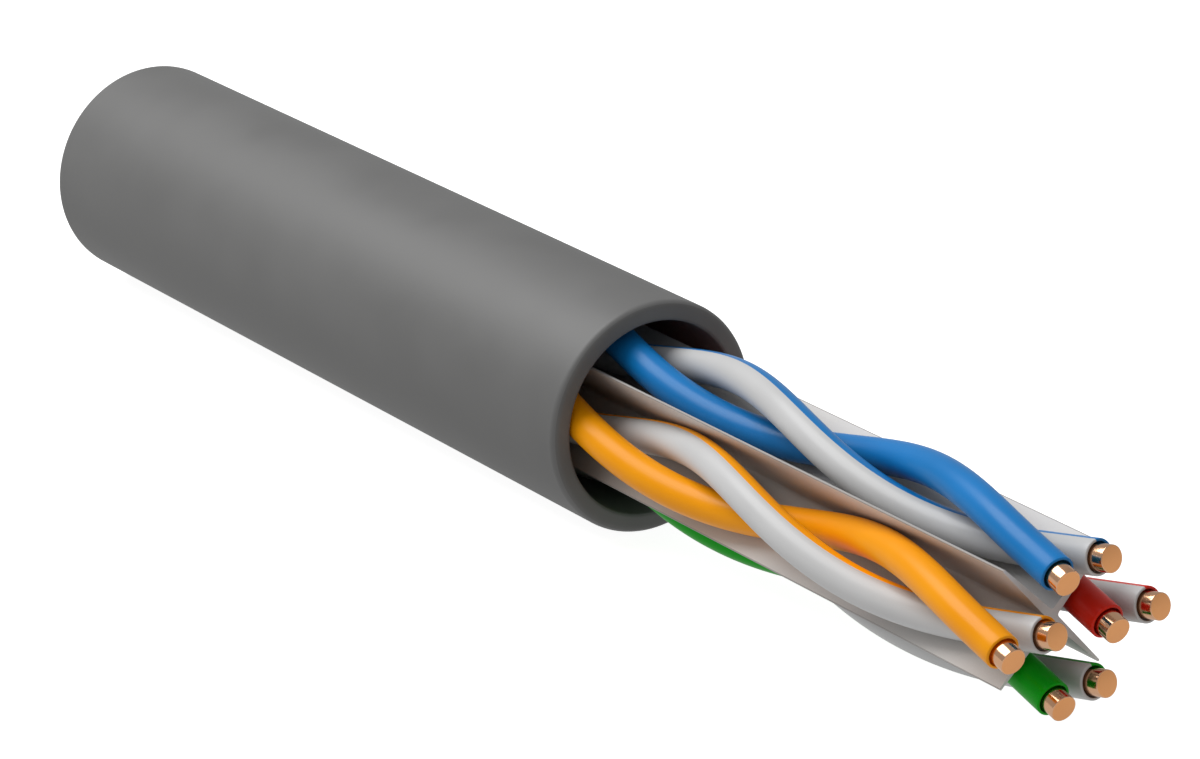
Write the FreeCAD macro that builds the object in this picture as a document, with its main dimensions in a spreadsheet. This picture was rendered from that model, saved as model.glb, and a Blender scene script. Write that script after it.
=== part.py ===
import FreeCAD, Part
import Sketcher
import math
import os
from FreeCAD import Placement, Rotation, Vector

# Cut sample of a four-pair data cable: a round jacket, a cross separator and four
# twisted pairs that reach out past the jacket's mouth with bared copper tips.
# +X runs along the cable towards the bare tips, +Z is up, and the origin is the
# centre of the jacket's mouth.

X_AXIS = Vector(1, 0, 0)
Y_AXIS = Vector(0, 1, 0)
Z_AXIS = Vector(0, 0, 1)

# Driving sizes. Lengths are millimetres and angles are degrees.
SIZES = {
    "jacket_diameter": 6.0,
    "jacket_wall": 0.51,
    "jacket_length": 24.8,
    "jacket_outer_round": 0.2,
    "jacket_inner_round": 0.1,
    "wire_reach": 16.47,
    "separator_setback": 1.23,
    "separator_thickness": 0.14,
    "separator_tip_thickness": 0.06,
    "separator_span_share": 0.815,
    "separator_root_round": 0.08,
    "contact_gap": 0.015,
    "lay_length": 14.95,
    "wire_spread": 1.27,
    "tip_phase": -17.5,
    "straight_end": 1.47,
    "bare_length": 0.4,
    "conductor_share": 0.75,
    "conductor_clearance": 0.006,
    "conductor_round": 0.02,
    "stripe_direction": 55.0,
    "stripe_angle": 80.0,
    "stripe_depth_share": 0.5,
    "relief_share": 0.4,
    "relief_depth": 0.2,
    "rim_round_share": 0.32,
    "back_allowance": 0.6,
}

PAIRS = {"blue": 90.0, "red": 0.0, "orange": 180.0, "green": 270.0}
SEPARATOR_ARMS = 4
FIRST_ARM_ANGLE = 45.0
SAME_PLACE = 1e-4


def derive(sizes):
    """Return the sizes that follow from the driving ones.

    The pairs fill the space between the jacket's bore and the separator's arms, so the
    pair radius comes from the bore, the arm thickness and the contact gap.
    """
    root_two = math.sqrt(2)
    gap = sizes["contact_gap"]
    bore = sizes["jacket_diameter"] / 2 - sizes["jacket_wall"]
    pair = ((bore - gap) / root_two - gap - sizes["separator_thickness"] / 2) / (1 + 1 / root_two)
    insulation = pair / (1 + sizes["wire_spread"])
    twist = pair - insulation
    offset = bore - gap - pair
    conductor = insulation * sizes["conductor_share"]
    wall = insulation - conductor
    tilt = math.atan(2 * math.pi * twist / sizes["lay_length"])
    helix_end = sizes["wire_reach"] - sizes["straight_end"] * math.cos(tilt)
    span = bore * sizes["separator_span_share"]
    middle = offset / root_two
    taper = (sizes["separator_thickness"] - sizes["separator_tip_thickness"]) / (span - middle)
    return {
        "jacket_radius": sizes["jacket_diameter"] / 2,
        "bore_radius": bore,
        "insulation_radius": insulation,
        "twist_radius": twist,
        "pair_offset": offset,
        "conductor_radius": conductor,
        "wire_bore_radius": conductor + sizes["conductor_clearance"],
        "relief_radius": conductor + wall * sizes["relief_share"],
        "rim_round": wall * sizes["rim_round_share"],
        "stripe_inner_radius": insulation - wall * sizes["stripe_depth_share"],
        "stripe_outer_radius": insulation + wall,
        "tilt_angle": math.degrees(tilt),
        "helix_end": helix_end,
        "helix_run": helix_end + sizes["jacket_length"] + sizes["back_allowance"],
        "back_plane": helix_end + sizes["jacket_length"],
        "sleeve_end": sizes["straight_end"] - sizes["bare_length"],
        "separator_length": sizes["wire_reach"] - sizes["separator_setback"] + sizes["jacket_length"],
        "separator_span": span,
        "separator_root_thickness": sizes["separator_thickness"] + taper * middle,
        "trim_width": 4 * pair,
    }


def write_sheet(doc, values):
    """Put every named size in the spreadsheet, one alias to a row."""
    sheet = doc.addObject("Spreadsheet::Sheet", "Sizes")
    for row, (alias, value) in enumerate(values.items(), start=1):
        sheet.set(f"A{row}", alias)
        sheet.set(f"B{row}", f"{value:.6f}")
        sheet.setAlias(f"B{row}", alias)
    return sheet


def origin_feature(body, role):
    """Return the body's own origin plane or axis with this role."""
    return next(item for item in body.Origin.OriginFeatures if item.Role == role)


def attach_sketch(body, name, plane_role, offset=Placement()):
    """Add a sketch that lies flat on one of its body's origin planes."""
    sketch = body.newObject("Sketcher::SketchObject", name)
    sketch.AttachmentSupport = [(origin_feature(body, plane_role), "")]
    sketch.MapMode = "FlatFace"
    sketch.AttachmentOffset = offset
    return sketch


def bound(sketch, kind, places, alias, factor=""):
    """Add a distance constraint and tie it to a size in the sheet."""
    index = sketch.addConstraint(Sketcher.Constraint(kind, *places, 1.0))
    sketch.setExpression(f"Constraints[{index}]", f"Sizes.{alias}{factor}")
    return index


def closed_outline(sketch, corners):
    """Draw a closed outline of straight lines through the corners."""
    count = len(corners)
    for index, corner in enumerate(corners):
        following = corners[(index + 1) % count]
        sketch.addGeometry(Part.LineSegment(Vector(*corner, 0), Vector(*following, 0)), False)
    for index in range(count):
        sketch.addConstraint(Sketcher.Constraint("Coincident", index, 2, (index + 1) % count, 1))


def edge_names(shape, wanted):
    """Return the names of the edges for which wanted(edge) is true."""
    return [f"Edge{i}" for i, edge in enumerate(shape.Edges, start=1) if wanted(edge)]


def is_ring_at(edge, radius, along):
    """Tell whether an edge is a circle of this radius at this place along X."""
    if not isinstance(edge.Curve, Part.Circle):
        return False
    same_size = abs(edge.Curve.Radius - radius) < SAME_PLACE
    return same_size and abs(edge.Curve.Center.x - along) < SAME_PLACE


def build_jacket(doc, values):
    """Revolve the jacket's wall and round its four rims."""
    body = doc.addObject("PartDesign::Body", "jacket")
    sketch = attach_sketch(body, "jacket_profile", "XZ_Plane")
    length = values["jacket_length"]
    inner = values["bore_radius"]
    outer = values["jacket_radius"]
    closed_outline(sketch, [(-length, inner), (0, inner), (0, outer), (-length, outer)])
    for line in (0, 2):
        sketch.addConstraint(Sketcher.Constraint("Horizontal", line))
    for line in (1, 3):
        sketch.addConstraint(Sketcher.Constraint("Vertical", line))
    sketch.addConstraint(Sketcher.Constraint("PointOnObject", 0, 2, -2))
    bound(sketch, "DistanceX", (0, 1, 0, 2), "jacket_length")
    bound(sketch, "DistanceY", (-1, 1, 0, 2), "bore_radius")
    bound(sketch, "DistanceY", (-1, 1, 1, 2), "jacket_radius")
    doc.recompute()
    tube = body.newObject("PartDesign::Revolution", "jacket_tube")
    tube.Profile = sketch
    tube.ReferenceAxis = (origin_feature(body, "X_Axis"), [""])
    tube.Angle = 360
    doc.recompute()
    base = tube
    for label, radius, size in (
            ("outer", outer, "jacket_outer_round"),
            ("inner", inner, "jacket_inner_round")):
        rims = edge_names(
            base.Shape, lambda e: is_ring_at(e, radius, 0) or is_ring_at(e, radius, -length))
        rounding = body.newObject("PartDesign::Fillet", f"jacket_{label}_rims")
        rounding.Base = (base, rims)
        rounding.setExpression("Radius", f"Sizes.{size}")
        doc.recompute()
        base = rounding
    return body


def build_separator(doc, values):
    """Pad one tapered arm, repeat it about the cable's axis and round the roots."""
    body = doc.addObject("PartDesign::Body", "cross_separator")
    start = Vector(0, 0, -values["jacket_length"])
    turned = Placement(start, Rotation(Z_AXIS, FIRST_ARM_ANGLE))
    sketch = attach_sketch(body, "arm_profile", "YZ_Plane", turned)
    sketch.setExpression(".AttachmentOffset.Base.z", "-Sizes.jacket_length")
    root = values["separator_root_thickness"] / 2
    tip = values["separator_tip_thickness"] / 2
    span = values["separator_span"]
    closed_outline(sketch, [(0, -root), (span, -tip), (span, tip), (0, root)])
    sketch.addConstraint(Sketcher.Constraint("Symmetric", 3, 1, 3, 2, -1, 1))
    sketch.addConstraint(Sketcher.Constraint("Vertical", 3))
    sketch.addConstraint(Sketcher.Constraint("Symmetric", 1, 1, 1, 2, -1))
    bound(sketch, "DistanceY", (3, 2, 3, 1), "separator_root_thickness")
    bound(sketch, "DistanceY", (1, 1, 1, 2), "separator_tip_thickness")
    bound(sketch, "DistanceX", (-1, 1, 1, 1), "separator_span")
    doc.recompute()
    arm = body.newObject("PartDesign::Pad", "arm")
    arm.Profile = sketch
    arm.setExpression("Length", "Sizes.separator_length")
    doc.recompute()
    cross = body.newObject("PartDesign::PolarPattern", "arms")
    cross.Originals = [arm]
    cross.Axis = (origin_feature(body, "X_Axis"), [""])
    cross.Angle = 360
    cross.Occurrences = SEPARATOR_ARMS
    body.Tip = cross
    doc.recompute()

    def is_root(edge):
        ends = [vertex.Point for vertex in edge.Vertexes]
        runs_along = abs(ends[0].x - ends[-1].x) > values["separator_length"] / 2
        return runs_along and math.hypot(ends[0].y, ends[0].z) < span / 2

    roots = body.newObject("PartDesign::Fillet", "root_rounds")
    roots.Base = (cross, edge_names(cross.Shape, is_root))
    roots.setExpression("Radius", "Sizes.separator_root_round")
    doc.recompute()
    return body


class WireShop:
    """Make the shapes that the eight wires share, in a wire's own frame.

    In that frame the pair's axis is Z, running back from the start of the straight
    front end, and the wire's centre line starts on the X axis.
    """

    def __init__(self, doc, values):
        self.doc = doc
        self.values = values
        self.section = Placement(
            Vector(values["twist_radius"], 0, 0), Rotation(X_AXIS, -values["tilt_angle"]))
        self.spine = doc.addObject("Part::Helix", "wire_path")
        for name, alias in (("Pitch", "lay_length"), ("Height", "helix_run"), ("Radius", "twist_radius")):
            self.spine.setExpression(name, f"Sizes.{alias}")
        self.trim = doc.addObject("Part::Box", "back_trim")
        for name in ("Length", "Width"):
            self.trim.setExpression(name, "Sizes.trim_width")
        self.trim.setExpression("Height", "Sizes.back_allowance * 2")
        half = values["trim_width"] / 2
        self.trim.Placement = Placement(Vector(-half, -half, values["back_plane"]), Rotation())
        doc.recompute()

    def sweep(self, name, section):
        """Sweep a section along the wire's path."""
        swept = self.doc.addObject("Part::Sweep", name)
        swept.Sections = [section]
        swept.Spine = (self.spine, edge_names(self.spine.Shape, lambda edge: True))
        swept.Solid = True
        swept.Frenet = False
        return swept

    def cylinder(self, name, radius_alias, start, end):
        """Add a straight cylinder on the wire's front end, start and end measured forward."""
        piece = self.doc.addObject("Part::Cylinder", name)
        piece.setExpression("Radius", f"Sizes.{radius_alias}")
        piece.Height = end - start
        piece.Placement = self.section.multiply(Placement(Vector(0, 0, -end), Rotation()))
        return piece

    def rounded(self, name, piece, radius):
        """Round the rim of a cylinder's front end."""
        self.doc.recompute()
        front = piece.Placement.Base
        rims = [
            i for i, edge in enumerate(piece.Shape.Edges, start=1)
            if isinstance(edge.Curve, Part.Circle)
            and edge.Curve.Center.distanceToPoint(front) < SAME_PLACE]
        rounding = self.doc.addObject("Part::Fillet", name)
        rounding.Base = piece
        rounding.Edges = [(i, radius, radius) for i in rims]
        return rounding

    def combine(self, kind, name, base, tool):
        """Join, cut or intersect two shapes."""
        result = self.doc.addObject(f"Part::{kind}", name)
        result.Base = base
        result.Tool = tool
        self.doc.recompute()
        return result

    def round_rod(self, name, radius_alias, end, rim_round):
        """Make a solid round rod along the whole path with a rounded front rim."""
        circle = self.doc.addObject("Part::Circle", f"{name}_section")
        circle.setExpression("Radius", f"Sizes.{radius_alias}")
        circle.Placement = self.section
        helical = self.sweep(f"{name}_helix", circle)
        front = self.cylinder(f"{name}_front", radius_alias, 0, end)
        if rim_round:
            front = self.rounded(f"{name}_rounded", front, rim_round)
        return self.combine("Fuse", name, helical, front)

    def stripe_tool(self, end):
        """Make the sector that the coloured stripe fills, a little too tall and too long."""
        v = self.values
        centre = math.radians(v["tip_phase"] - v["stripe_direction"])
        half = math.radians(v["stripe_angle"] / 2)
        angles = (centre - half, centre + half)
        radii = (v["stripe_inner_radius"], v["stripe_outer_radius"])
        corners = [[Vector(r * math.cos(a), r * math.sin(a), 0) for a in angles] for r in radii]
        sketch = self.doc.addObject("Sketcher::SketchObject", "stripe_section")
        for radius in radii:
            circle = Part.Circle(Vector(), Z_AXIS, radius)
            sketch.addGeometry(Part.ArcOfCircle(circle, *angles), False)
        for side in (0, 1):
            sketch.addGeometry(Part.LineSegment(corners[0][side], corners[1][side]), False)
            for arc in (0, 1):
                sketch.addConstraint(Sketcher.Constraint("Coincident", 2 + side, arc + 1, arc, side + 1))
        for arc, alias in enumerate(("stripe_inner_radius", "stripe_outer_radius")):
            sketch.addConstraint(Sketcher.Constraint("Coincident", arc, 3, -1, 1))
            bound(sketch, "Radius", (arc,), alias)
        sketch.Placement = self.section
        helical = self.sweep("stripe_helix", sketch)
        front = self.doc.addObject("Part::Extrusion", "stripe_front")
        front.Base = sketch
        front.Dir = self.section.Rotation.multVec(Z_AXIS)
        front.LengthRev = end
        front.Solid = True
        return self.combine("Fuse", "stripe_tool", helical, front)

    def placed(self, name, master, pair_angle, phase):
        """Trim a shared shape flush at the back and put it in its place in the cable."""
        v = self.values
        node = self.combine("Cut", name, master, self.trim)
        angle = math.radians(pair_angle)
        centre = Vector(
            v["helix_end"], v["pair_offset"] * math.cos(angle), v["pair_offset"] * math.sin(angle))
        turn = Rotation(X_AXIS, phase - 90).multiply(Rotation(Y_AXIS, -90))
        node.Placement = Placement(centre, turn)
        return node


def build_wires(doc, values):
    """Build the four pairs: insulation, conductors and the stripes on the white wires."""
    shop = WireShop(doc, values)
    sleeve_end = values["sleeve_end"]
    clear = values["relief_depth"]
    blank = shop.round_rod("insulation_blank", "insulation_radius", sleeve_end, values["rim_round"])
    bore = shop.round_rod("wire_bore", "wire_bore_radius", sleeve_end + clear, 0)
    relief = shop.cylinder("relief", "relief_radius", sleeve_end - clear, sleeve_end + clear)
    opening = shop.combine("Fuse", "wire_opening", bore, relief)
    plain = shop.combine("Cut", "plain_insulation", blank, opening)
    tool = shop.stripe_tool(sleeve_end + clear)
    notched = shop.combine("Cut", "notched_insulation", plain, tool)
    stripe = shop.combine("Common", "stripe_strip", blank, tool)
    conductor = shop.round_rod(
        "conductor", "conductor_radius", values["straight_end"], values["conductor_round"])
    nodes = []
    for colour, pair_angle in PAIRS.items():
        white_phase = values["tip_phase"]
        colour_phase = white_phase + 180
        for name, master, phase in (
                (f"{colour}_insulation", plain, colour_phase),
                (f"{colour}_conductor", conductor, colour_phase),
                (f"white_{colour}_insulation", notched, white_phase),
                (f"white_{colour}_stripe", stripe, white_phase),
                (f"white_{colour}_conductor", conductor, white_phase)):
            nodes.append(shop.placed(name, master, pair_angle, phase))
    doc.recompute()
    return nodes


def check_and_export(doc, nodes):
    """Stop on any failed object or bad solid, then write one STEP file per node."""
    for item in doc.Objects:
        if "Invalid" in item.State or "Error" in item.State:
            raise RuntimeError(f"{item.Label} did not compute: {item.State}")
    for node in nodes:
        shape = node.Shape
        if shape.isNull() or not shape.isValid() or len(shape.Solids) != 1:
            raise RuntimeError(f"{node.Label} is not one valid solid")
    os.makedirs("parts", exist_ok=True)
    for node in nodes:
        node.Shape.exportStep(f"parts/{node.Label}.step")


def main():
    """Build the cable sample and write its parts."""
    doc = FreeCAD.newDocument("cable_sample")
    values = {**SIZES, **derive(SIZES)}
    write_sheet(doc, values)
    doc.recompute()
    nodes = [build_jacket(doc, values), build_separator(doc, values)]
    nodes += build_wires(doc, values)
    check_and_export(doc, nodes)


main()
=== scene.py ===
import logging
import math
from dataclasses import dataclass, field
from enum import Enum
from typing import Callable, Iterable, Sequence

import bmesh
import bpy
from mathutils import Matrix, Vector


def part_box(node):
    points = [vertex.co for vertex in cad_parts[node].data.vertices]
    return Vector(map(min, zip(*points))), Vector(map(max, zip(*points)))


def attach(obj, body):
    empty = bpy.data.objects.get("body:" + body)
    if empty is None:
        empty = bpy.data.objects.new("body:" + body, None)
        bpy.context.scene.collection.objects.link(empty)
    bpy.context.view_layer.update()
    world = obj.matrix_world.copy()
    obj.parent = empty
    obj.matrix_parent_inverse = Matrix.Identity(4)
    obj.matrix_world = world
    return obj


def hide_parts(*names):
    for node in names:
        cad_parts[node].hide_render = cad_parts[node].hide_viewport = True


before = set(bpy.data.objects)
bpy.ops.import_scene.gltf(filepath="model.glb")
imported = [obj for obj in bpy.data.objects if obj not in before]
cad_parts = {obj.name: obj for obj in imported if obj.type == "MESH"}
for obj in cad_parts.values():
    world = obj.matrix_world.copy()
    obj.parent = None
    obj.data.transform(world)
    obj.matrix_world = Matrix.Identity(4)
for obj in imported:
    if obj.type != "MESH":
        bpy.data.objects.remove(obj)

log = logging.getLogger("cable_sample")

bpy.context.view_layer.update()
MM = 0.001
ROOT_BODY = "root"
Z_AXIS = Vector((0.0, 0.0, 1.0))

Test = Callable[[object], bool]


class Shade(Enum):
    """The insulation colours, each with its material slot."""

    BLUE = "blue"
    RED = "red"
    ORANGE = "orange"
    GREEN = "green"
    WHITE = "white"

    @property
    def slot(self) -> str:
        """Return the record's slot name for this colour."""
        return f"{self.value}_plastic"


class Element(Enum):
    """The kinds of mesh element that can be picked in edit mode."""

    VERTS = "VERT"
    EDGES = "EDGE"
    FACES = "FACE"


@dataclass(frozen=True)
class CableSizes:
    """The cable's sizes in millimetres and degrees, as the solid model has them."""

    jacket_radius: float = 3.0
    jacket_wall: float = 0.51
    jacket_length: float = 24.8
    outer_round: float = 0.2
    inner_round: float = 0.1
    wire_reach: float = 16.47
    separator_reach: float = 15.24
    arm_thickness: float = 0.14
    arm_tip_thickness: float = 0.06
    arm_span_share: float = 0.815
    arm_root_round: float = 0.08
    contact_gap: float = 0.015
    lay_length: float = 14.95
    wire_spread: float = 1.27
    tip_phase: float = -17.5
    straight_end: float = 1.47
    bare_length: float = 0.4
    conductor_share: float = 0.75
    conductor_clearance: float = 0.006
    conductor_round: float = 0.02
    stripe_direction: float = 55.0
    stripe_angle: float = 80.0
    relief_share: float = 0.4
    relief_depth: float = 0.2
    rim_round_share: float = 0.32

    @classmethod
    def from_frame(cls) -> "CableSizes":
        """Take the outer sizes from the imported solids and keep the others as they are.

        Returns:
            The sizes, rounded to a thousandth of a millimetre.
        """
        jacket_low, jacket_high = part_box("jacket")
        separator_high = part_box("cross_separator")[1]
        return cls(
            jacket_radius=round(jacket_high[2] / MM, 3),
            jacket_length=round((jacket_high[0] - jacket_low[0]) / MM, 3),
            separator_reach=round(separator_high[0] / MM, 3))

    @property
    def bore_radius(self) -> float:
        """Return the radius of the jacket's bore."""
        return self.jacket_radius - self.jacket_wall

    @property
    def pair_radius(self) -> float:
        """Return the radius of the round space that one twisted pair fills."""
        space = (self.bore_radius - self.contact_gap) / math.sqrt(2)
        return (space - self.contact_gap - self.arm_thickness / 2) / (1 + math.sqrt(0.5))

    @property
    def insulation_radius(self) -> float:
        """Return the outer radius of one insulated wire."""
        return self.pair_radius / (1 + self.wire_spread)

    @property
    def twist_radius(self) -> float:
        """Return the distance from a pair's axis to its wires' centre lines."""
        return self.pair_radius - self.insulation_radius

    @property
    def pair_offset(self) -> float:
        """Return the distance from the cable's axis to a pair's axis."""
        return self.bore_radius - self.contact_gap - self.pair_radius

    @property
    def conductor_radius(self) -> float:
        """Return the radius of the copper."""
        return self.insulation_radius * self.conductor_share

    @property
    def insulation_wall(self) -> float:
        """Return the thickness of the insulation."""
        return self.insulation_radius - self.conductor_radius

    @property
    def tilt(self) -> float:
        """Return the angle in radians between a wire and its pair's axis."""
        return math.atan(2 * math.pi * self.twist_radius / self.lay_length)

    @property
    def helix_end(self) -> float:
        """Return where along the cable the twist ends and the straight tips start."""
        return self.wire_reach - self.straight_end * math.cos(self.tilt)

    @property
    def arm_span(self) -> float:
        """Return the reach of the separator's arms from the cable's axis."""
        return self.bore_radius * self.arm_span_share

    @property
    def arm_taper(self) -> float:
        """Return how much thickness an arm loses for each millimetre outwards."""
        middle = self.pair_offset / math.sqrt(2)
        return (self.arm_thickness - self.arm_tip_thickness) / (self.arm_span - middle)

    @property
    def arm_root_thickness(self) -> float:
        """Return the thickness an arm would have at the cable's axis."""
        return self.arm_thickness + self.arm_taper * self.pair_offset / math.sqrt(2)


class Bench:
    """Modelling moves that the sub-assemblies share, all through Blender's operators."""

    @staticmethod
    def clear() -> None:
        """Leave edit mode and deselect everything."""
        if bpy.context.object is not None and bpy.context.object.mode != "OBJECT":
            bpy.ops.object.mode_set(mode="OBJECT")
        bpy.ops.object.select_all(action="DESELECT")

    @staticmethod
    def take(*pieces: bpy.types.Object) -> bpy.types.Object:
        """Select these pieces alone and make the last one active.

        Args:
            pieces: The objects to select.

        Returns:
            The active object.
        """
        Bench.clear()
        for piece in pieces:
            piece.select_set(True)
        bpy.context.view_layer.objects.active = pieces[-1]
        return pieces[-1]

    @staticmethod
    def edit(piece: bpy.types.Object) -> None:
        """Open a piece in edit mode with nothing in it selected."""
        Bench.take(piece)
        bpy.ops.object.mode_set(mode="EDIT")
        bpy.ops.mesh.select_all(action="DESELECT")

    @staticmethod
    def done() -> None:
        """Return to object mode."""
        bpy.ops.object.mode_set(mode="OBJECT")

    @staticmethod
    def pick(piece: bpy.types.Object, kind: Element, test: Test) -> None:
        """Select the elements of the piece in edit mode that pass a test.

        Args:
            piece: The object being edited.
            kind: Which elements to look at.
            test: Says whether one element is wanted.
        """
        bpy.ops.mesh.select_all(action="DESELECT")
        bpy.ops.mesh.select_mode(type=kind.value)
        mesh = bmesh.from_edit_mesh(piece.data)
        elements = {Element.VERTS: mesh.verts, Element.EDGES: mesh.edges, Element.FACES: mesh.faces}[kind]
        for element in [element for element in elements if test(element)]:
            element.select_set(True)
        mesh.select_flush_mode()
        bmesh.update_edit_mesh(piece.data)

    @staticmethod
    def outward() -> None:
        """Turn all normals of the mesh in edit mode outwards."""
        bpy.ops.mesh.select_all(action="SELECT")
        bpy.ops.mesh.normals_make_consistent(inside=False)
        bpy.ops.mesh.select_all(action="DESELECT")

    @staticmethod
    def copy(piece: bpy.types.Object, name: str) -> bpy.types.Object:
        """Duplicate a piece with its own mesh.

        Args:
            piece: The object to copy.
            name: The name of the copy.

        Returns:
            The new object.
        """
        twin = piece.copy()
        twin.data = piece.data.copy()
        twin.name = name
        twin.data.name = name
        bpy.context.scene.collection.objects.link(twin)
        return twin

    @staticmethod
    def apply_place(piece: bpy.types.Object) -> None:
        """Put a piece's place, turn and scale into its mesh."""
        Bench.take(piece)
        bpy.ops.object.transform_apply(location=True, rotation=True, scale=True)

    @staticmethod
    def smooth(piece: bpy.types.Object, degrees: float) -> None:
        """Shade a piece smooth except across edges sharper than this angle."""
        Bench.take(piece)
        bpy.ops.object.shade_smooth_by_angle(angle=math.radians(degrees))

    @staticmethod
    def discard(*pieces: bpy.types.Object) -> None:
        """Remove helper objects that the finished model doesn't need."""
        for piece in pieces:
            bpy.data.objects.remove(piece, do_unlink=True)

    @staticmethod
    def to_metres(piece: bpy.types.Object) -> None:
        """Shrink a piece modelled in millimetres to metres about the origin."""
        piece.location = piece.location * MM
        piece.scale = (MM, MM, MM)
        Bench.apply_place(piece)


@dataclass(frozen=True)
class Plastic:
    """An extruded plastic.

    Attributes:
        name: The material's name.
        colour: Linear base colour.
        roughness: Middle roughness.
        mottle: How much the colour varies over the surface.
        grain: Size of the fine surface grain in metres.
        grain_depth: Depth of the grain's bump in metres.
        draw_depth: Depth of the die lines along the cable in metres.
        specular: Level of the surface reflection.
        painted_shade: How much painted shade, from ambient occlusion, darkens the colour where other pieces
            stand close.
        painted_shade_reach: How close they have to stand, in metres.
    """

    name: str
    colour: tuple[float, float, float]
    roughness: float
    mottle: float = 0.05
    grain: float = 0.00012
    grain_depth: float = 0.0000015
    draw_depth: float = 0.000001
    specular: float = 0.5
    # Painted shade: the base colour is darkened by ambient occlusion where other pieces stand close.
    painted_shade: float = 0.0
    painted_shade_reach: float = 0.0008


@dataclass(frozen=True)
class Metal:
    """A bare metal surface.

    Attributes:
        name: The material's name.
        colour: Linear base colour.
        roughness: Middle roughness.
        tarnish: Linear colour of the faint oxide patches.
        mark_depth: Depth of the drawing or shearing marks in metres.
        mark_size: Spacing of the marks in metres.
    """

    name: str
    colour: tuple[float, float, float]
    roughness: float
    tarnish: tuple[float, float, float]
    mark_depth: float
    mark_size: float


JACKET_SKIN = Plastic("jacket_skin", (0.146, 0.146, 0.144), 0.52, 0.06, 0.00016, 0.0000022, 0.0000016)
# Cut ends and bore: a rougher plastic with its own grain; its darker tone is partly painted shade on these
# faces, which turn away from the light.
JACKET_CUT_AND_SHADE = Plastic("jacket_cut_face_and_shade", (0.12, 0.12, 0.117), 0.62, 0.1, 0.00009, 0.000004, 0.0)
# Painted shade darkens the separator and most wire colours in the gaps where other pieces stand close.
SEPARATOR_SKIN = Plastic(
    "separator_skin", (0.8, 0.775, 0.75), 0.45, 0.04, specular=0.3, painted_shade=0.54, painted_shade_reach=0.0016)
# Painted shade: a darker copy of the separator plastic for the arm tips, so the key light leaves no bright
# line along them.
SEPARATOR_TIP_SHADE = Plastic("separator_tip_painted_shade", (0.42, 0.4, 0.385), 0.55, 0.04, specular=0.2)
WIRE_PLASTICS = {
    Shade.BLUE: Plastic(
        "blue_insulation", (0.006, 0.195, 0.54), 0.33, specular=0.25, painted_shade=0.45),
    Shade.RED: Plastic(
        "red_insulation", (0.72, 0.016, 0.002), 0.33, specular=0.25, painted_shade=0.3),
    Shade.ORANGE: Plastic(
        "orange_insulation", (1.0, 0.36, 0.001), 0.33, specular=0.2),
    Shade.GREEN: Plastic(
        "green_insulation", (0.0, 0.4, 0.004), 0.33, specular=0.15, painted_shade=0.3),
    Shade.WHITE: Plastic(
        "white_insulation", (0.61, 0.61, 0.61), 0.34, 0.03, specular=0.3, painted_shade=0.45),
}
COPPER_SIDE = Metal("copper_drawn", (0.86, 0.5, 0.3), 0.14, (0.6, 0.3, 0.16), 0.0000006, 0.00001)
COPPER_CUT = Metal("copper_cut_face", (0.97, 0.46, 0.19), 0.36, (0.9, 0.41, 0.16), 0.0000006, 0.00003)


class NodeSheet:
    """A small helper for laying out a node tree."""

    def __init__(self, tree: bpy.types.NodeTree) -> None:
        """Keep the tree that nodes are added to."""
        self.tree = tree

    def add(self, kind: str, **settings: object) -> bpy.types.Node:
        """Add a node and set its properties or its inputs by name.

        Args:
            kind: The node's type name.
            settings: Properties of the node, or default values of its inputs.

        Returns:
            The new node.
        """
        node = self.tree.nodes.new(kind)
        for key, value in settings.items():
            if hasattr(node, key):
                setattr(node, key, value)
            else:
                node.inputs[key.replace("_", " ")].default_value = value
        return node

    def link(self, source: bpy.types.NodeSocket, target: bpy.types.NodeSocket) -> None:
        """Join two sockets."""
        self.tree.links.new(source, target)


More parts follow.
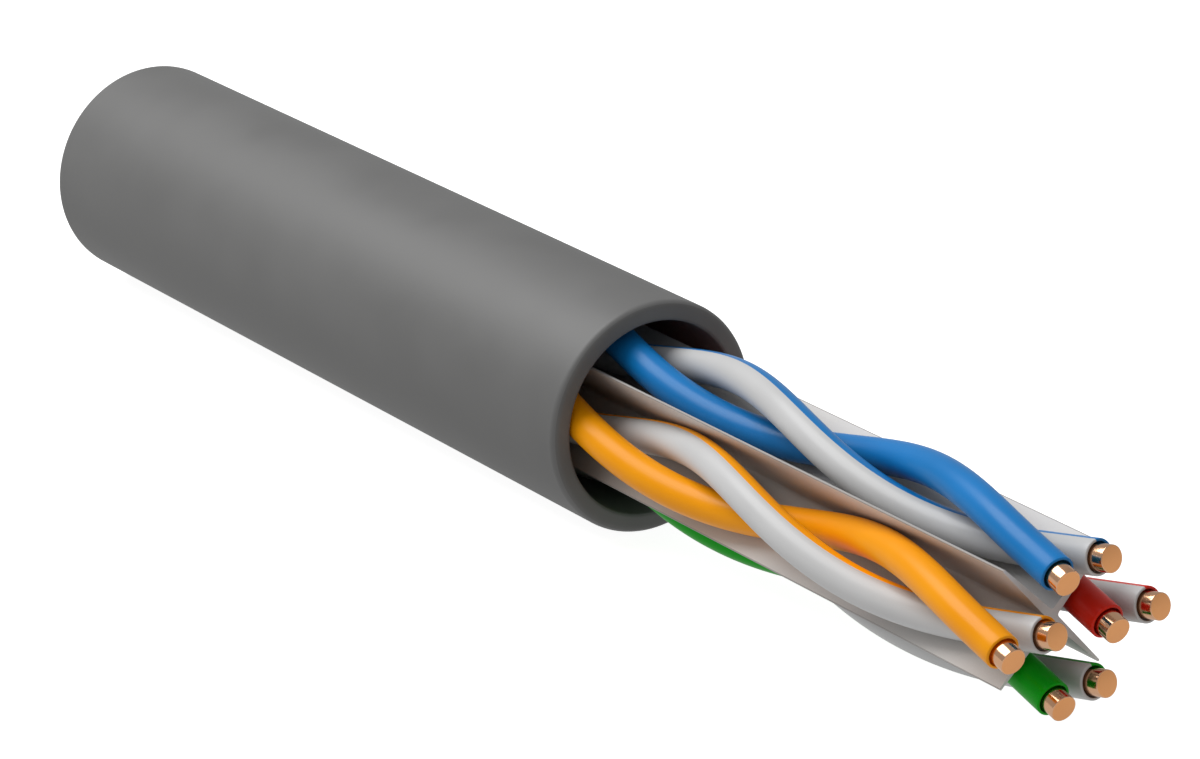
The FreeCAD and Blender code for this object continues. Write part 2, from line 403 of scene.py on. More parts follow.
class FinishShop:
    """Builds the shared node groups once and every material from its finish."""

    def __init__(self) -> None:
        """Make the groups that the materials share."""
        self.grain_group = self._grain_group()
        self.draw_group = self._draw_group()
        self.painted_shade_group = self._painted_shade_group()
        self.made: dict[str, bpy.types.Material] = {}

    @staticmethod
    def _sockets(group: bpy.types.NodeTree, inputs: Sequence[str], outputs: Sequence[str]) -> None:
        """Give a group its named inputs, the first a vector, and its outputs.

        Args:
            group: The node group.
            inputs: Input names; the first is a vector.
            outputs: Output names, all plain numbers.
        """
        for index, name in enumerate(inputs):
            kind = "NodeSocketVector" if index == 0 else "NodeSocketFloat"
            group.interface.new_socket(name, in_out="INPUT", socket_type=kind)
        for name in outputs:
            group.interface.new_socket(name, in_out="OUTPUT", socket_type="NodeSocketFloat")

    def _grain_group(self) -> bpy.types.NodeTree:
        """Make the fine grain: a height and a slow mottle from two sizes of noise."""
        group = bpy.data.node_groups.new("fine_grain", "ShaderNodeTree")
        self._sockets(group, ("Place", "Frequency"), ("Height", "Mottle"))
        sheet = NodeSheet(group)
        entry, leave = sheet.add("NodeGroupInput"), sheet.add("NodeGroupOutput")
        fine = sheet.add("ShaderNodeTexNoise", Detail=4.0, Roughness=0.55)
        slow = sheet.add("ShaderNodeTexNoise", Detail=2.0, Roughness=0.5)
        slower = sheet.add("ShaderNodeMath", operation="MULTIPLY")
        slower.inputs[1].default_value = 0.06
        sheet.link(entry.outputs["Frequency"], slower.inputs[0])
        for noise in (fine, slow):
            sheet.link(entry.outputs["Place"], noise.inputs["Vector"])
        sheet.link(entry.outputs["Frequency"], fine.inputs["Scale"])
        sheet.link(slower.outputs[0], slow.inputs["Scale"])
        sheet.link(fine.outputs["Fac"], leave.inputs["Height"])
        sheet.link(slow.outputs["Fac"], leave.inputs["Mottle"])
        return group

    def _draw_group(self) -> bpy.types.NodeTree:
        """Make the long faint lines that a die leaves along an extrusion or drawn wire."""
        group = bpy.data.node_groups.new("die_lines", "ShaderNodeTree")
        self._sockets(group, ("Place", "Frequency"), ("Lines",))
        sheet = NodeSheet(group)
        entry, leave = sheet.add("NodeGroupInput"), sheet.add("NodeGroupOutput")
        stretch = sheet.add("ShaderNodeVectorMath", operation="MULTIPLY")
        stretch.inputs[1].default_value = (0.02, 1.0, 1.0)
        noise = sheet.add("ShaderNodeTexNoise", Detail=3.0, Roughness=0.6)
        sheet.link(entry.outputs["Place"], stretch.inputs[0])
        sheet.link(stretch.outputs[0], noise.inputs["Vector"])
        sheet.link(entry.outputs["Frequency"], noise.inputs["Scale"])
        sheet.link(noise.outputs["Fac"], leave.inputs["Lines"])
        return group

    def _painted_shade_group(self) -> bpy.types.NodeTree:
        """Make the painted-shade mask: ambient occlusion, 1 in the open, falling where other pieces stand
        close.
        """
        group = bpy.data.node_groups.new("painted_shade_mask", "ShaderNodeTree")
        group.interface.new_socket("Reach", in_out="INPUT", socket_type="NodeSocketFloat")
        self._sockets(group, (), ("Open",))
        sheet = NodeSheet(group)
        entry, leave = sheet.add("NodeGroupInput"), sheet.add("NodeGroupOutput")
        near = sheet.add("ShaderNodeAmbientOcclusion", samples=6)
        sheet.link(entry.outputs["Reach"], near.inputs["Distance"])
        sheet.link(near.outputs["AO"], leave.inputs["Open"])
        return group

    def _start(self, name: str) -> tuple[bpy.types.Material, NodeSheet, bpy.types.Node]:
        """Open a new material.

        Args:
            name: The material's name.

        Returns:
            The material, its sheet and its main shader.
        """
        material = bpy.data.materials.new(name)
        material.use_nodes = True
        sheet = NodeSheet(material.node_tree)
        shader = material.node_tree.nodes["Principled BSDF"]
        return material, sheet, shader

    @staticmethod
    def _group(sheet: NodeSheet, group: bpy.types.NodeTree, size: float) -> bpy.types.Node:
        """Place a shared group on Object coordinates.

        Args:
            sheet: The material's sheet.
            group: The shared group.
            size: The size of its pattern in metres.

        Returns:
            The group's node.
        """
        place = sheet.add("ShaderNodeTexCoord")
        node = sheet.add("ShaderNodeGroup")
        node.node_tree = group
        node.inputs["Frequency"].default_value = 1.0 / size
        sheet.link(place.outputs["Object"], node.inputs["Place"])
        return node

    @staticmethod
    def _colour(sheet: NodeSheet, mask: bpy.types.NodeSocket, low: Sequence[float],
                high: Sequence[float]) -> bpy.types.Node:
        """Mix two colours by a mask.

        Args:
            sheet: The material's sheet.
            mask: The number that drives the mix.
            low: The colour where the mask is low.
            high: The colour where the mask is high.

        Returns:
            The colour ramp.
        """
        ramp = sheet.add("ShaderNodeValToRGB")
        ramp.color_ramp.elements[0].position = 0.3
        ramp.color_ramp.elements[1].position = 0.7
        ramp.color_ramp.elements[0].color = (*low, 1.0)
        ramp.color_ramp.elements[1].color = (*high, 1.0)
        sheet.link(mask, ramp.inputs["Fac"])
        return ramp

    @staticmethod
    def _range(sheet: NodeSheet, mask: bpy.types.NodeSocket, low: float, high: float) -> bpy.types.Node:
        """Stretch a mask to a range of numbers.

        Args:
            sheet: The material's sheet.
            mask: A number from 0.3 to 0.7.
            low: The result at the low end.
            high: The result at the high end.

        Returns:
            The range node.
        """
        node = sheet.add("ShaderNodeMapRange")
        for name, value in (("From Min", 0.3), ("From Max", 0.7), ("To Min", low), ("To Max", high)):
            node.inputs[name].default_value = value
        sheet.link(mask, node.inputs["Value"])
        return node

    @staticmethod
    def _bump(sheet: NodeSheet, height: bpy.types.NodeSocket, depth: float,
              below: bpy.types.Node | None = None) -> bpy.types.Node:
        """Turn a height into a normal.

        Args:
            sheet: The material's sheet.
            height: The height.
            depth: Its depth in metres.
            below: An earlier bump that this one adds to.

        Returns:
            The bump node.
        """
        bump = sheet.add("ShaderNodeBump", Strength=1.0, Distance=depth)
        sheet.link(height, bump.inputs["Height"])
        if below is not None:
            sheet.link(below.outputs["Normal"], bump.inputs["Normal"])
        return bump

    def _paint_shade(self, sheet: NodeSheet, colour: bpy.types.NodeSocket,
                finish: Plastic) -> bpy.types.NodeSocket:
        """Paint shade into a colour: darken it where other pieces stand close.

        Args:
            sheet: The material's sheet.
            colour: The colour in the open.
            finish: The plastic's finish, which says how much and how close.

        Returns:
            The colour, darkened by painted shade.
        """
        mask = sheet.add("ShaderNodeGroup")
        mask.node_tree = self.painted_shade_group
        mask.inputs["Reach"].default_value = finish.painted_shade_reach
        level = sheet.add("ShaderNodeMapRange")
        level.inputs["To Min"].default_value = 1.0 - finish.painted_shade
        darker = sheet.add("ShaderNodeVectorMath", operation="SCALE")
        sheet.link(mask.outputs["Open"], level.inputs["Value"])
        sheet.link(colour, darker.inputs[0])
        sheet.link(level.outputs["Result"], darker.inputs["Scale"])
        return darker.outputs["Vector"]

    def plastic(self, finish: Plastic) -> bpy.types.Material:
        """Make or return the material for an extruded plastic.

        Args:
            finish: The plastic's finish.

        Returns:
            The material.
        """
        if finish.name in self.made:
            return self.made[finish.name]
        material, sheet, shader = self._start(finish.name)
        grain = self._group(sheet, self.grain_group, finish.grain)
        dark = [channel * (1 - finish.mottle) for channel in finish.colour]
        light = [min(1.0, channel * (1 + finish.mottle)) for channel in finish.colour]
        colour = self._colour(sheet, grain.outputs["Mottle"], dark, light)
        rough = self._range(
            sheet, grain.outputs["Mottle"], finish.roughness - 0.04, finish.roughness + 0.05)
        bump = self._bump(sheet, grain.outputs["Height"], finish.grain_depth)
        if finish.draw_depth:
            lines = self._group(sheet, self.draw_group, finish.grain * 1.6)
            bump = self._bump(sheet, lines.outputs["Lines"], finish.draw_depth, bump)
        skin = colour.outputs["Color"]
        # Painted shade: ambient occlusion darkens the base colour where other pieces stand close.
        if finish.painted_shade:
            skin = self._paint_shade(sheet, skin, finish)
        sheet.link(skin, shader.inputs["Base Color"])
        sheet.link(rough.outputs["Result"], shader.inputs["Roughness"])
        sheet.link(bump.outputs["Normal"], shader.inputs["Normal"])
        shader.inputs["Specular IOR Level"].default_value = finish.specular
        self.made[finish.name] = material
        return material

    def metal(self, finish: Metal) -> bpy.types.Material:
        """Make or return the material for a bare metal.

        Args:
            finish: The metal's finish.

        Returns:
            The material.
        """
        if finish.name in self.made:
            return self.made[finish.name]
        material, sheet, shader = self._start(finish.name)
        grain = self._group(sheet, self.grain_group, finish.mark_size * 4)
        lines = self._group(sheet, self.draw_group, finish.mark_size)
        colour = self._colour(sheet, grain.outputs["Mottle"], finish.tarnish, finish.colour)
        colour.color_ramp.elements[0].position = 0.18
        colour.color_ramp.elements[1].position = 0.42
        rough = self._range(
            sheet, grain.outputs["Height"], finish.roughness - 0.04, finish.roughness + 0.06)
        bump = self._bump(sheet, lines.outputs["Lines"], finish.mark_depth)
        sheet.link(colour.outputs["Color"], shader.inputs["Base Color"])
        sheet.link(rough.outputs["Result"], shader.inputs["Roughness"])
        sheet.link(bump.outputs["Normal"], shader.inputs["Normal"])
        shader.inputs["Metallic"].default_value = 1.0
        self.made[finish.name] = material
        return material


def fit_piece(piece: bpy.types.Object, slot: str, nodes: Iterable[str],
              materials: Sequence[bpy.types.Material]) -> bpy.types.Object:
    """Finish a piece: dress it, hang it on the body and let it stand for its nodes.

    Args:
        piece: The finished mesh, in metres, at the origin.
        slot: The record's material slot.
        nodes: The solids that it replaces.
        materials: Its materials, which its faces number from 0.

    Returns:
        The same piece.
    """
    for material in materials:
        piece.data.materials.append(material)
    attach(piece, ROOT_BODY)
    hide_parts(*nodes)
    triangles = sum(len(face.vertices) - 2 for face in piece.data.polygons)
    log.info("%s: %d triangles, slot %s", piece.name, triangles, slot)
    return piece


@dataclass
class Jacket:
    """The round outer jacket with rounded rims and bare cut faces."""

    sizes: CableSizes
    shop: FinishShop
    segments: int = 256
    outer_cuts: int = 7
    inner_cuts: int = 5

    def build(self) -> bpy.types.Object:
        """Model the jacket and dress it.

        Returns:
            The finished jacket.
        """
        piece = self._shell()
        self._round_rims(piece)
        self._mark_cut_faces(piece)
        Bench.to_metres(piece)
        Bench.smooth(piece, 40.0)
        materials = (self.shop.plastic(JACKET_SKIN), self.shop.plastic(JACKET_CUT_AND_SHADE))
        return fit_piece(piece, "jacket_plastic", ("jacket",), materials)

    def _shell(self) -> bpy.types.Object:
        """Pull a ring through the mouth, down the bore and out over the back.

        Returns:
            The closed tube, in millimetres.
        """
        s = self.sizes
        Bench.clear()
        bpy.ops.mesh.primitive_circle_add(
            vertices=self.segments, radius=s.jacket_radius, rotation=(0.0, math.pi / 2, 0.0))
        piece = bpy.context.object
        piece.name = "jacket_shell"
        Bench.apply_place(piece)
        Bench.edit(piece)
        bpy.ops.mesh.select_all(action="SELECT")
        inward = s.bore_radius / s.jacket_radius
        bpy.ops.mesh.extrude_region_move()
        bpy.ops.transform.resize(value=(inward,) * 3, center_override=(0.0, 0.0, 0.0))
        bpy.ops.mesh.extrude_region_move(
            TRANSFORM_OT_translate={"value": (-s.jacket_length, 0.0, 0.0)})
        bpy.ops.mesh.extrude_region_move()
        bpy.ops.transform.resize(value=(1 / inward,) * 3, center_override=(-s.jacket_length, 0.0, 0.0))
        Bench.pick(piece, Element.EDGES, lambda edge: edge.is_boundary)
        bpy.ops.mesh.bridge_edge_loops()
        Bench.outward()
        Bench.done()
        return piece

    def _round_rims(self, piece: bpy.types.Object) -> None:
        """Round the outer and inner edges at both ends."""
        s = self.sizes
        rims = ((s.jacket_radius, s.outer_round, self.outer_cuts),
                (s.bore_radius, s.inner_round, self.inner_cuts))
        for radius, size, cuts in rims:
            Bench.edit(piece)
            Bench.pick(piece, Element.EDGES, lambda edge: self._on_rim(edge, radius))
            bpy.ops.mesh.bevel(offset=size, segments=cuts, affect="EDGES", clamp_overlap=False)
            Bench.done()

    def _on_rim(self, edge: bmesh.types.BMEdge, radius: float) -> bool:
        """Tell whether an edge lies on a rim of this radius at either end."""
        ends = (0.0, -self.sizes.jacket_length)
        a, b = (vert.co for vert in edge.verts)
        level = abs(a.x - b.x) < 1e-4 and min(abs(a.x - end) for end in ends) < 1e-4
        return level and all(abs(math.hypot(p.y, p.z) - radius) < 1e-3 for p in (a, b))

    def _mark_cut_faces(self, piece: bpy.types.Object) -> None:
        """Give the flat end faces and the bore the cut-face material, whose darker tone is partly painted
        shade.
        """
        for face in piece.data.polygons:
            reach = math.hypot(face.center.y, face.center.z)
            flat_end = abs(face.normal.x) > 0.8
            in_bore = reach < self.sizes.bore_radius + 0.02
            face.material_index = 1 if flat_end or in_bore else 0


@dataclass
class Separator:
    """The cross-shaped filler that keeps the pairs apart."""

    sizes: CableSizes
    shop: FinishShop
    root_cuts: int = 4
    tip_round: float = 0.028

    def build(self) -> bpy.types.Object:
        """Model the cross and dress it.

        Returns:
            The finished separator.
        """
        piece = self._cross()
        Bench.to_metres(piece)
        Bench.smooth(piece, 28.0)
        materials = (self.shop.plastic(SEPARATOR_SKIN), self.shop.plastic(SEPARATOR_TIP_SHADE))
        return fit_piece(piece, "separator_plastic", ("cross_separator",), materials)

    def _cross(self) -> bpy.types.Object:
        """Pull four tapered arms from a square core and round their roots and tips.

        Returns:
            The closed cross, in millimetres.
        """
        s = self.sizes
        core = s.arm_root_thickness / 2 / (1 + s.arm_taper / 2)
        length = s.separator_reach + s.jacket_length
        middle = (s.separator_reach - s.jacket_length) / 2
        Bench.clear()
        bpy.ops.mesh.primitive_cube_add(size=1.0, location=(middle, 0.0, 0.0))
        piece = bpy.context.object
        piece.name = "separator_cross"
        piece.scale = (length, 2 * core, 2 * core)
        Bench.apply_place(piece)
        Bench.edit(piece)
        narrow = s.arm_tip_thickness / 2 / core
        for step in ((0, 1, 0), (0, 0, 1), (0, -1, 0), (0, 0, -1)):
            way = Vector(step)
            Bench.pick(piece, Element.FACES, lambda face: self._on_core(face, way, core))
            bpy.ops.mesh.extrude_region_move(
                TRANSFORM_OT_translate={"value": way * (s.arm_span - core)})
            across = (1.0, 1.0 if way.y else narrow, narrow if way.y else 1.0)
            bpy.ops.transform.resize(
                value=across, center_override=(middle, way.y * s.arm_span, way.z * s.arm_span))
        Bench.pick(piece, Element.EDGES, lambda edge: self._along(edge) and self._reach(edge) < 2 * core)
        bpy.ops.mesh.bevel(offset=s.arm_root_round, segments=self.root_cuts, affect="EDGES")
        tip = 0.95 * s.arm_span
        Bench.pick(piece, Element.EDGES, lambda edge: self._along(edge) and self._reach(edge) > tip)
        bpy.ops.mesh.bevel(offset=self.tip_round, segments=4, affect="EDGES")
        Bench.outward()
        Bench.done()
        # Painted shade: the arm tips' side faces take the darker separator material.
        for face in piece.data.polygons:
            middle = Vector((face.center.y, face.center.z))
            at_tip = middle.length > s.arm_span - self.tip_round
            face.material_index = int(at_tip and abs(face.normal.x) < 0.5)
        piece.rotation_euler = (math.radians(45.0), 0.0, 0.0)
        Bench.apply_place(piece)
        return piece

    @staticmethod
    def _on_core(face: bmesh.types.BMFace, way: Vector, core: float) -> bool:
        """Tell whether a face is the core's own side in this direction."""
        middle = face.calc_center_median()
        sideways = Vector((0.0, middle.y, middle.z)) - way * middle.dot(way)
        return sideways.length < 1e-4 and abs(middle.dot(way) - core) < 1e-4

    @staticmethod
    def _along(edge: bmesh.types.BMEdge) -> bool:
        """Tell whether an edge runs the length of the cable."""
        return abs(edge.verts[0].co.x - edge.verts[1].co.x) > 1.0

    @staticmethod
    def _reach(edge: bmesh.types.BMEdge) -> float:
        """Return an edge's distance from the cable's axis."""
        return math.hypot(edge.verts[0].co.y, edge.verts[0].co.z)


@dataclass
class WireMasters:
    """The shapes that all the wires share, modelled once around one pair's axis."""

    sizes: CableSizes
    steps_per_turn: int = 72
    around: int = 72
    back_allowance: float = 0.6
    stripe_depth: float = 0.05
    lip: float = 0.01
    rim_cuts: int = 4
    plain: bpy.types.Object = field(init=False)
    notched: bpy.types.Object = field(init=False)
    stripe: bpy.types.Object = field(init=False)
    conductor: bpy.types.Object = field(init=False)

    def __post_init__(self) -> None:
        """Work out the wire's end and model the four shapes."""
        s = self.sizes
        phase = math.radians(s.tip_phase)
        self.bore_radius = s.conductor_radius + s.conductor_clearance
        self.relief_radius = s.conductor_radius + s.insulation_wall * s.relief_share
        self.forward = Vector((
            math.cos(s.tilt), -math.sin(s.tilt) * math.sin(phase), math.sin(s.tilt) * math.cos(phase)))
        self.turn_off = Vector((
            s.helix_end, s.twist_radius * math.cos(phase), s.twist_radius * math.sin(phase)))
        self.sleeve_front = self.turn_off + self.forward * (s.straight_end - s.bare_length)
        self.upward = (Z_AXIS - self.forward * self.forward.z).normalized()
        self.sideways = self.upward.cross(self.forward)
        self.plain = self._insulation("plain_wire")
        self.notched, self.stripe = self._striped()
        self.conductor = self._rod("conductor_wire")

    def _path(self, name: str, straight: float) -> bpy.types.Object:
        """Turn a point into a helix and run its end straight on.

        Args:
            name: The name of the path.
            straight: The length of the straight end.

        Returns:
            The path as a curve, in millimetres.
        """
        s = self.sizes
        run = s.helix_end + s.jacket_length + self.back_allowance
        turns = run / s.lay_length
        phase = math.radians(s.tip_phase)
        Bench.clear()
        bpy.ops.mesh.primitive_plane_add(size=0.1, location=self.turn_off)
        piece = bpy.context.object
        piece.name = name
        Bench.apply_place(piece)
        Bench.edit(piece)
        bpy.ops.mesh.select_all(action="SELECT")
        bpy.ops.mesh.merge(type="CENTER")
        Bench.done()
        twist = piece.modifiers.new("twist", "SCREW")
        twist.axis = "X"
        twist.angle = -2 * math.pi * turns
        twist.screw_offset = -run
        twist.steps = twist.render_steps = round(turns * self.steps_per_turn)
        twist.use_normal_calculate = False
        bpy.ops.object.modifier_apply(modifier=twist.name)
        Bench.edit(piece)
        Bench.pick(piece, Element.VERTS, lambda vert: (vert.co - self.turn_off).length < 1e-3)
        for share in (0.35, 0.45, 0.2):
            bpy.ops.mesh.extrude_vertices_move(
                TRANSFORM_OT_translate={"value": self.forward * straight * share})
        Bench.done()
        Bench.take(piece)
        bpy.ops.object.convert(target="CURVE")
        curve = bpy.context.object
        curve.data.dimensions = "3D"
        curve.data.twist_mode = "Z_UP"
        log.debug("%s starts at phase %.3f", name, phase)
        return curve

    def _swept(self, name: str, straight: float, radius: float) -> bpy.types.Object:
        """Run a round wall along the wire's path and cut the back off flush.

        Args:
            name: The name of the result.
            straight: The length of the straight end.
            radius: The radius of the wall.

        Returns:
            The open wall as a mesh, in millimetres.
        """
        path = self._path(name, straight)
        Bench.clear()
        bpy.ops.curve.primitive_bezier_circle_add(radius=radius)
        profile = bpy.context.object
        profile.data.resolution_u = self.around // 4
        path.data.bevel_mode = "OBJECT"
        path.data.bevel_object = profile
        path.data.use_fill_caps = False
        Bench.take(path)
        bpy.ops.object.convert(target="MESH")
        piece = bpy.context.object
        Bench.discard(profile)
        self._number_columns(piece)
        Bench.edit(piece)
        bpy.ops.mesh.select_all(action="SELECT")
        bpy.ops.mesh.bisect(
            plane_co=(-self.sizes.jacket_length, 0.0, 0.0), plane_no=(-1.0, 0.0, 0.0),
            clear_outer=True, threshold=1e-5)
        Bench.done()
        return piece

    def _bearing(self, point: Vector, centre: Vector) -> float:
        """Return a point's direction round a straight wire end, in degrees from +Y towards +Z."""
        arm = point - centre
        return math.degrees(math.atan2(arm.dot(self.upward), arm.dot(self.sideways)))

    def _in_stripe(self, bearing: float, slack: float = 0.0) -> bool:
        """Tell whether a direction lies within the stripe."""
        s = self.sizes
        return abs(bearing - s.stripe_direction) <= s.stripe_angle / 2 + slack

    def _number_columns(self, piece: bpy.types.Object) -> None:
        """Mark the faces of a wall that the stripe covers, column by column."""
        mesh = piece.data
        rings = len(mesh.vertices) // self.around
        front_ring = max(range(rings), key=lambda ring: mesh.vertices[ring * self.around].co.x)
        first = front_ring * self.around
        ring_points = [mesh.vertices[first + column].co for column in range(self.around)]
        centre = sum(ring_points, Vector()) / self.around
        covered = {
            column for column, point in enumerate(ring_points)
            if self._in_stripe(self._bearing(point, centre), 0.5)}
        band = mesh.attributes.new("band", "INT", "FACE")
        for face in mesh.polygons:
            columns = {index % self.around for index in face.vertices}
            band.data[face.index].value = int(columns <= covered)

    def _insulation(self, name: str) -> bpy.types.Object:
        """Model the plain insulation: an outer wall folded in at the front to meet its bore.

        Args:
            name: The name of the result.

        Returns:
            The closed sleeve, in millimetres.
        """
        s = self.sizes
        sleeve_end = s.straight_end - s.bare_length
        bore = self._swept(f"{name}_bore", sleeve_end - s.relief_depth, self.bore_radius)
        for face in bore.data.polygons:
            bore.data.attributes["band"].data[face.index].value = 0
        piece = self._swept(name, sleeve_end, s.insulation_radius)
        Bench.take(bore, piece)
        bpy.ops.object.join()
        Bench.edit(piece)
        self._front_ring(piece, s.insulation_radius)
        bpy.ops.mesh.select_mode(type="EDGE")
        bpy.ops.mesh.extrude_region_move()
        self._scale_front(s.insulation_radius, self.relief_radius)
        bpy.ops.mesh.extrude_region_move(
            TRANSFORM_OT_translate={"value": self.forward * -s.relief_depth})
        bpy.ops.mesh.extrude_region_move()
        self._scale_front(self.relief_radius, self.bore_radius, -s.relief_depth)
        bpy.ops.mesh.select_all(action="SELECT")
        bpy.ops.mesh.remove_doubles(threshold=1e-4)
        Bench.pick(piece, Element.EDGES, lambda edge: edge.is_boundary)
        bpy.ops.mesh.fill(use_beauty=True)
        for radius, size, cuts in (
                (s.insulation_radius, s.insulation_wall * s.rim_round_share, 4),
                (self.relief_radius, self.lip, 2)):
            self._front_ring(piece, radius)
            bpy.ops.mesh.select_mode(type="EDGE")
            bpy.ops.mesh.bevel(offset=size, segments=cuts, affect="EDGES", clamp_overlap=False)
        Bench.outward()
        Bench.done()
        return piece

    def _front_ring(self, piece: bpy.types.Object, radius: float) -> None:
        """Select the ring of points of this radius in the sleeve's front plane."""
        def on_ring(vert: bmesh.types.BMVert) -> bool:
            arm = vert.co - self.sleeve_front
            flat = abs(arm.dot(self.forward)) < 1e-3
            return flat and abs(arm.length - radius) < 1e-3
        Bench.pick(piece, Element.VERTS, on_ring)

    def _scale_front(self, radius: float, wanted: float, level: float = 0.0) -> None:
        """Bring the selected ring to another radius.

        Args:
            radius: The ring's radius.
            wanted: The radius that it gets.
            level: The ring's place along the wire, measured forward from the sleeve's front.
        """
        centre = self.sleeve_front + self.forward * level
        bpy.ops.transform.resize(value=(wanted / radius,) * 3, center_override=centre)

    def _striped(self) -> tuple[bpy.types.Object, bpy.types.Object]:
        """Split the stripe's skin from a sleeve and sink a bed for it.

        Returns:
            The sleeve with its bed, and the stripe that fills the bed.
        """
        sleeve = Bench.copy(self.plain, "notched_wire")
        Bench.edit(sleeve)
        self._pick_stripe(sleeve)
        bpy.ops.mesh.duplicate()
        bpy.ops.mesh.separate(type="SELECTED")
        Bench.done()
        skin = next(piece for piece in bpy.context.selected_objects if piece != sleeve)
        skin.name = "stripe_strip"
        Bench.edit(sleeve)
        self._pick_stripe(sleeve)
        bpy.ops.mesh.extrude_region_shrink_fatten(
            TRANSFORM_OT_shrink_fatten={"value": -self.stripe_depth, "use_even_offset": True})
        Bench.outward()
        Bench.done()
        thick = skin.modifiers.new("thick", "SOLIDIFY")
        thick.thickness = self.stripe_depth
        thick.offset = -1.0
        thick.use_even_offset = True
        Bench.take(skin)
        bpy.ops.object.modifier_apply(modifier=thick.name)
        for piece in (sleeve, skin):
            self._flush_back(piece)
        return sleeve, skin

    def _flush_back(self, piece: bpy.types.Object) -> None:
        """Bring a shape's back end onto the plane where the cable is cut off.

        Args:
            piece: The shape, in millimetres.
        """
        back = -self.sizes.jacket_length
        Bench.edit(piece)
        Bench.pick(piece, Element.VERTS, lambda vert: abs(vert.co.x - back) < 2 * self.lip)
        bpy.ops.transform.resize(value=(0.0, 1.0, 1.0), center_override=(back, 0.0, 0.0))
        Bench.done()

    def _pick_stripe(self, sleeve: bpy.types.Object) -> None:
        """Select the faces of a sleeve that the stripe covers, its front rim included."""
        s = self.sizes
        layer = bmesh.from_edit_mesh(sleeve.data).faces.layers.int["band"]
        rim = s.insulation_wall * s.rim_round_share * 1.1

        def covered(face: bmesh.types.BMFace) -> bool:
            middle = face.calc_center_median()
            arm = middle - self.sleeve_front
            level = arm.dot(self.forward)
            if level < -rim:
                return face[layer] == 1
            reach = (arm - self.forward * level).length
            shows = level > -self.lip or reach > s.insulation_radius - rim
            return shows and self._in_stripe(self._bearing(middle, self.sleeve_front))

        Bench.pick(sleeve, Element.FACES, covered)

    def _rod(self, name: str) -> bpy.types.Object:
        """Model the copper: a round rod with a rounded, cut front end.

        Args:
            name: The name of the result.

        Returns:
            The closed rod, in millimetres.
        """
        s = self.sizes
        piece = self._swept(name, s.straight_end - s.conductor_round, s.conductor_radius)
        centre = self.turn_off + self.forward * (s.straight_end - s.conductor_round)
        Bench.edit(piece)
        Bench.pick(piece, Element.EDGES, lambda edge: edge.is_boundary and edge.verts[0].co.x > 0)
        radius, level = s.conductor_radius, 0.0
        for cut in range(1, self.rim_cuts + 1):
            angle = math.pi / 2 * cut / self.rim_cuts
            smaller = s.conductor_radius - s.conductor_round * (1 - math.cos(angle))
            rise = s.conductor_round * math.sin(angle)
            bpy.ops.mesh.extrude_region_move(
                TRANSFORM_OT_translate={"value": self.forward * (rise - level)})
            bpy.ops.transform.resize(value=(smaller / radius,) * 3, center_override=centre)
            bpy.ops.transform.translate(value=self.forward * rise * (1 - smaller / radius))
            radius, level = smaller, rise
        bpy.ops.mesh.edge_face_add()
        Bench.pick(piece, Element.EDGES, lambda edge: edge.is_boundary)
        bpy.ops.mesh.edge_face_add()
        Bench.outward()
        Bench.done()
        for face in piece.data.polygons:
            face.material_index = int(len(face.vertices) > 4)
        return piece

    def discard(self) -> None:
        """Remove the shared shapes once every wire has its own copy."""
        Bench.discard(self.plain, self.notched, self.stripe, self.conductor)


@dataclass
class TwistedPair:
    """One pair: a coloured wire and a white wire with a stripe of that colour."""

    shade: Shade
    place: float
    sizes: CableSizes
    masters: WireMasters
    shop: FinishShop

    def build(self) -> list[bpy.types.Object]:
        """Copy the shared shapes to this pair's place and dress them.

        Returns:
            The five finished pieces.
        """
        colour = (self.shop.plastic(WIRE_PLASTICS[self.shade]),)
        white = (self.shop.plastic(WIRE_PLASTICS[Shade.WHITE]),)
        copper = (self.shop.metal(COPPER_SIDE), self.shop.metal(COPPER_CUT))
        name = self.shade.value
        plan = (
            (f"{name}_insulation", self.masters.plain, True, self.shade.slot, colour),
            (f"{name}_conductor", self.masters.conductor, True, "copper", copper),
            (f"white_{name}_insulation", self.masters.notched, False, Shade.WHITE.slot, white),
            (f"white_{name}_stripe", self.masters.stripe, False, self.shade.slot, colour),
            (f"white_{name}_conductor", self.masters.conductor, False, "copper", copper))
        return [self._wire(*row) for row in plan]

    def _wire(self, node: str, master: bpy.types.Object, opposite: bool, slot: str,
              materials: Sequence[bpy.types.Material]) -> bpy.types.Object:
        """Place one copy of a shared shape.

        Args:
            node: The solid that it replaces.
            master: The shared shape.
            opposite: Whether it lies on the far side of the pair's axis.
            slot: The record's material slot.
            materials: Its materials.

        Returns:
            The finished piece.
        """
        piece = Bench.copy(master, f"{node}_made")
        angle = math.radians(self.place)
        piece.rotation_euler = (math.pi if opposite else 0.0, 0.0, 0.0)
        piece.location = Vector((0.0, math.cos(angle), math.sin(angle))) * self.sizes.pair_offset
        Bench.to_metres(piece)
        Bench.smooth(piece, 35.0)
        return fit_piece(piece, slot, (node,), materials)


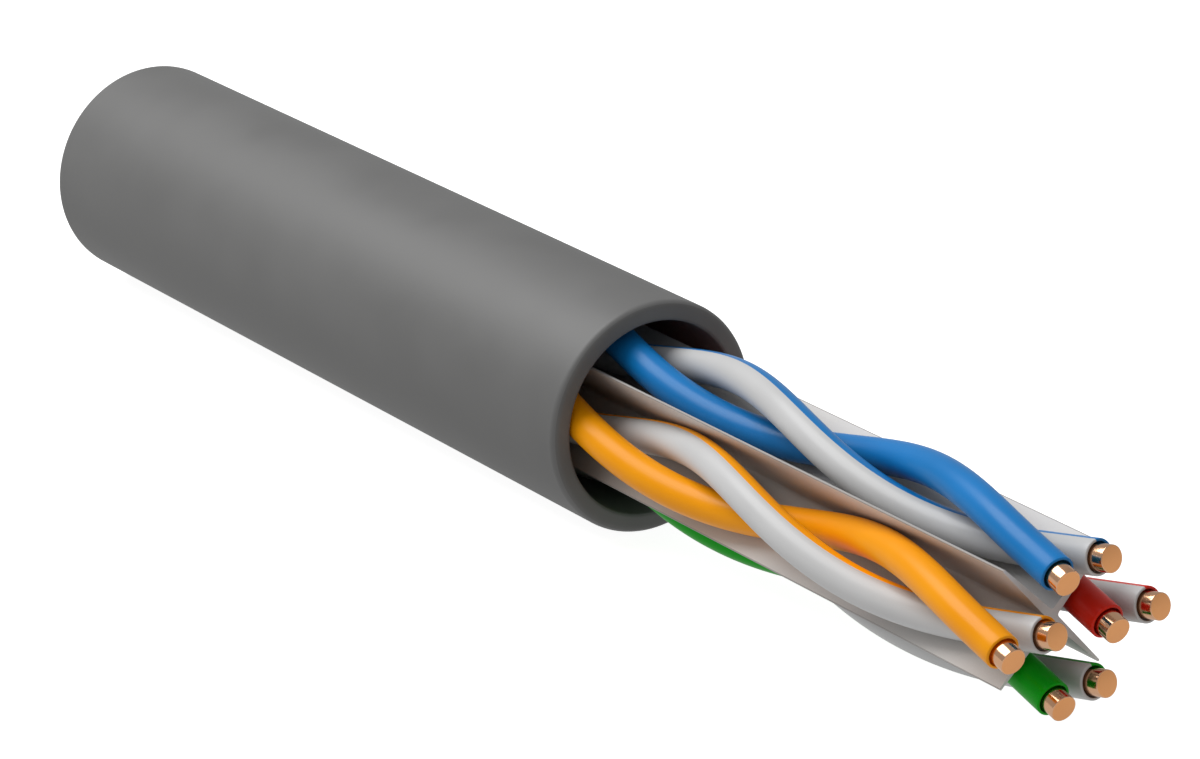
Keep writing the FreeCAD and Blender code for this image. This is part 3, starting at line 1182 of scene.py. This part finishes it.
@dataclass
class Studio:
    """The floor, the lights and the camera."""

    sizes: CableSizes
    azimuth: float = 34.94
    elevation: float = 20.23
    distance: float = 0.1201
    offset_right: float = 0.00133
    offset_up: float = -0.00095
    lens: float = 146.1
    floor_bounce: float = 0.53
    floor_glow: float = 0.9
    air_light: float = 0.38
    key_direction: tuple[float, float, float] = (-0.46, -0.322, 0.828)
    key_distance: float = 0.35
    key_aim: float = -0.004
    key_size: float = 0.3
    key_power: float = 1.09

    def build(self) -> None:
        """Lay the floor, set the light and stand the camera."""
        self._floor()
        self._world()
        self._lights()
        self._camera()
        view = bpy.context.scene.view_settings
        view.view_transform = "Standard"
        view.look = "None"
        log.info("studio ready")

    def _axes(self) -> tuple[Vector, Vector, Vector]:
        """Return the camera's right, up and backward directions."""
        turn, rise = math.radians(self.azimuth), math.radians(self.elevation)
        back = Vector((
            math.cos(rise) * math.cos(turn), -math.cos(rise) * math.sin(turn), math.sin(rise)))
        right = Vector((math.sin(turn), math.cos(turn), 0.0))
        return right, back.cross(right), back

    def _camera(self) -> None:
        """Stand the camera so that the cable lies across the frame from the upper left."""
        right, up, back = self._axes()
        place = back * self.distance - right * self.offset_right - up * self.offset_up
        data = bpy.data.cameras.new("camera")
        data.lens = self.lens
        data.sensor_width = 36.0
        data.clip_start = 0.001
        data.clip_end = 10.0
        camera = bpy.data.objects.new("camera", data)
        bpy.context.scene.collection.objects.link(camera)
        camera.matrix_world = Matrix.Translation(place) @ Matrix((right, up, back)).transposed().to_4x4()
        bpy.context.scene.camera = camera

    def _floor(self) -> None:
        """Lay a wide pale floor under the jacket."""
        Bench.clear()
        level = -self.sizes.jacket_radius * MM
        bpy.ops.mesh.primitive_plane_add(size=6.0, location=(0.0, 0.0, level))
        floor = bpy.context.object
        floor.name = "studio_floor"
        Bench.apply_place(floor)
        material = bpy.data.materials.new("pale_floor")
        material.use_nodes = True
        sheet = NodeSheet(material.node_tree)
        shader = material.node_tree.nodes["Principled BSDF"]
        rays = sheet.add("ShaderNodeLightPath")
        pale = sheet.add("ShaderNodeMix", data_type="RGBA")
        pale.inputs[6].default_value = (0.1, 0.1, 0.1, 1.0)
        pale.inputs[7].default_value = (0.5, 0.5, 0.5, 1.0)
        glow = sheet.add("ShaderNodeMapRange")
        glow.inputs["To Min"].default_value = self.floor_bounce
        glow.inputs["To Max"].default_value = self.floor_glow
        sheet.link(rays.outputs["Is Camera Ray"], pale.inputs[0])
        sheet.link(rays.outputs["Is Camera Ray"], glow.inputs["Value"])
        sheet.link(pale.outputs[2], shader.inputs["Base Color"])
        sheet.link(glow.outputs["Result"], shader.inputs["Emission Strength"])
        shader.inputs["Roughness"].default_value = 1.0
        shader.inputs["Specular IOR Level"].default_value = 0.0
        shader.inputs["Emission Color"].default_value = (1.0, 1.0, 1.0, 1.0)
        floor.data.materials.append(material)

    def _world(self) -> None:
        """Fill the room with soft light and leave the far wall white."""
        world = bpy.data.worlds.new("studio_air")
        world.use_nodes = True
        sheet = NodeSheet(world.node_tree)
        air = world.node_tree.nodes["Background"]
        rays = sheet.add("ShaderNodeLightPath")
        strength = sheet.add("ShaderNodeMapRange")
        strength.inputs["To Min"].default_value = self.air_light
        strength.inputs["To Max"].default_value = 1.0
        sheet.link(rays.outputs["Is Camera Ray"], strength.inputs["Value"])
        sheet.link(strength.outputs["Result"], air.inputs["Strength"])
        air.inputs["Color"].default_value = (1.0, 1.0, 1.0, 1.0)
        bpy.context.scene.world = world

    def _lights(self) -> None:
        """Hang one broad round panel over the jacket, behind and to the left."""
        data = bpy.data.lights.new("key_panel", "AREA")
        data.shape = "DISK"
        data.size = self.key_size
        data.energy = self.key_power
        light = bpy.data.objects.new("key_panel", data)
        away = Vector(self.key_direction) * self.key_distance
        light.location = Vector((self.key_aim, 0.0, 0.0)) + away
        light.rotation_euler = away.to_track_quat("Z", "Y").to_euler()
        bpy.context.scene.collection.objects.link(light)


def main() -> None:
    """Build the sub-assemblies in order and set the studio."""
    logging.basicConfig(level=logging.INFO, format="%(name)s: %(message)s")
    sizes = CableSizes.from_frame()
    log.info("jacket radius %.3f, length %.3f, separator to %.3f mm",
             sizes.jacket_radius, sizes.jacket_length, sizes.separator_reach)
    shop = FinishShop()
    Jacket(sizes, shop).build()
    Separator(sizes, shop).build()
    masters = WireMasters(sizes)
    places = {Shade.BLUE: 90.0, Shade.RED: 0.0, Shade.ORANGE: 180.0, Shade.GREEN: 270.0}
    for shade, place in places.items():
        TwistedPair(shade, place, sizes, masters, shop).build()
    masters.discard()
    Studio(sizes).build()


if __name__ == "__main__":
    main()
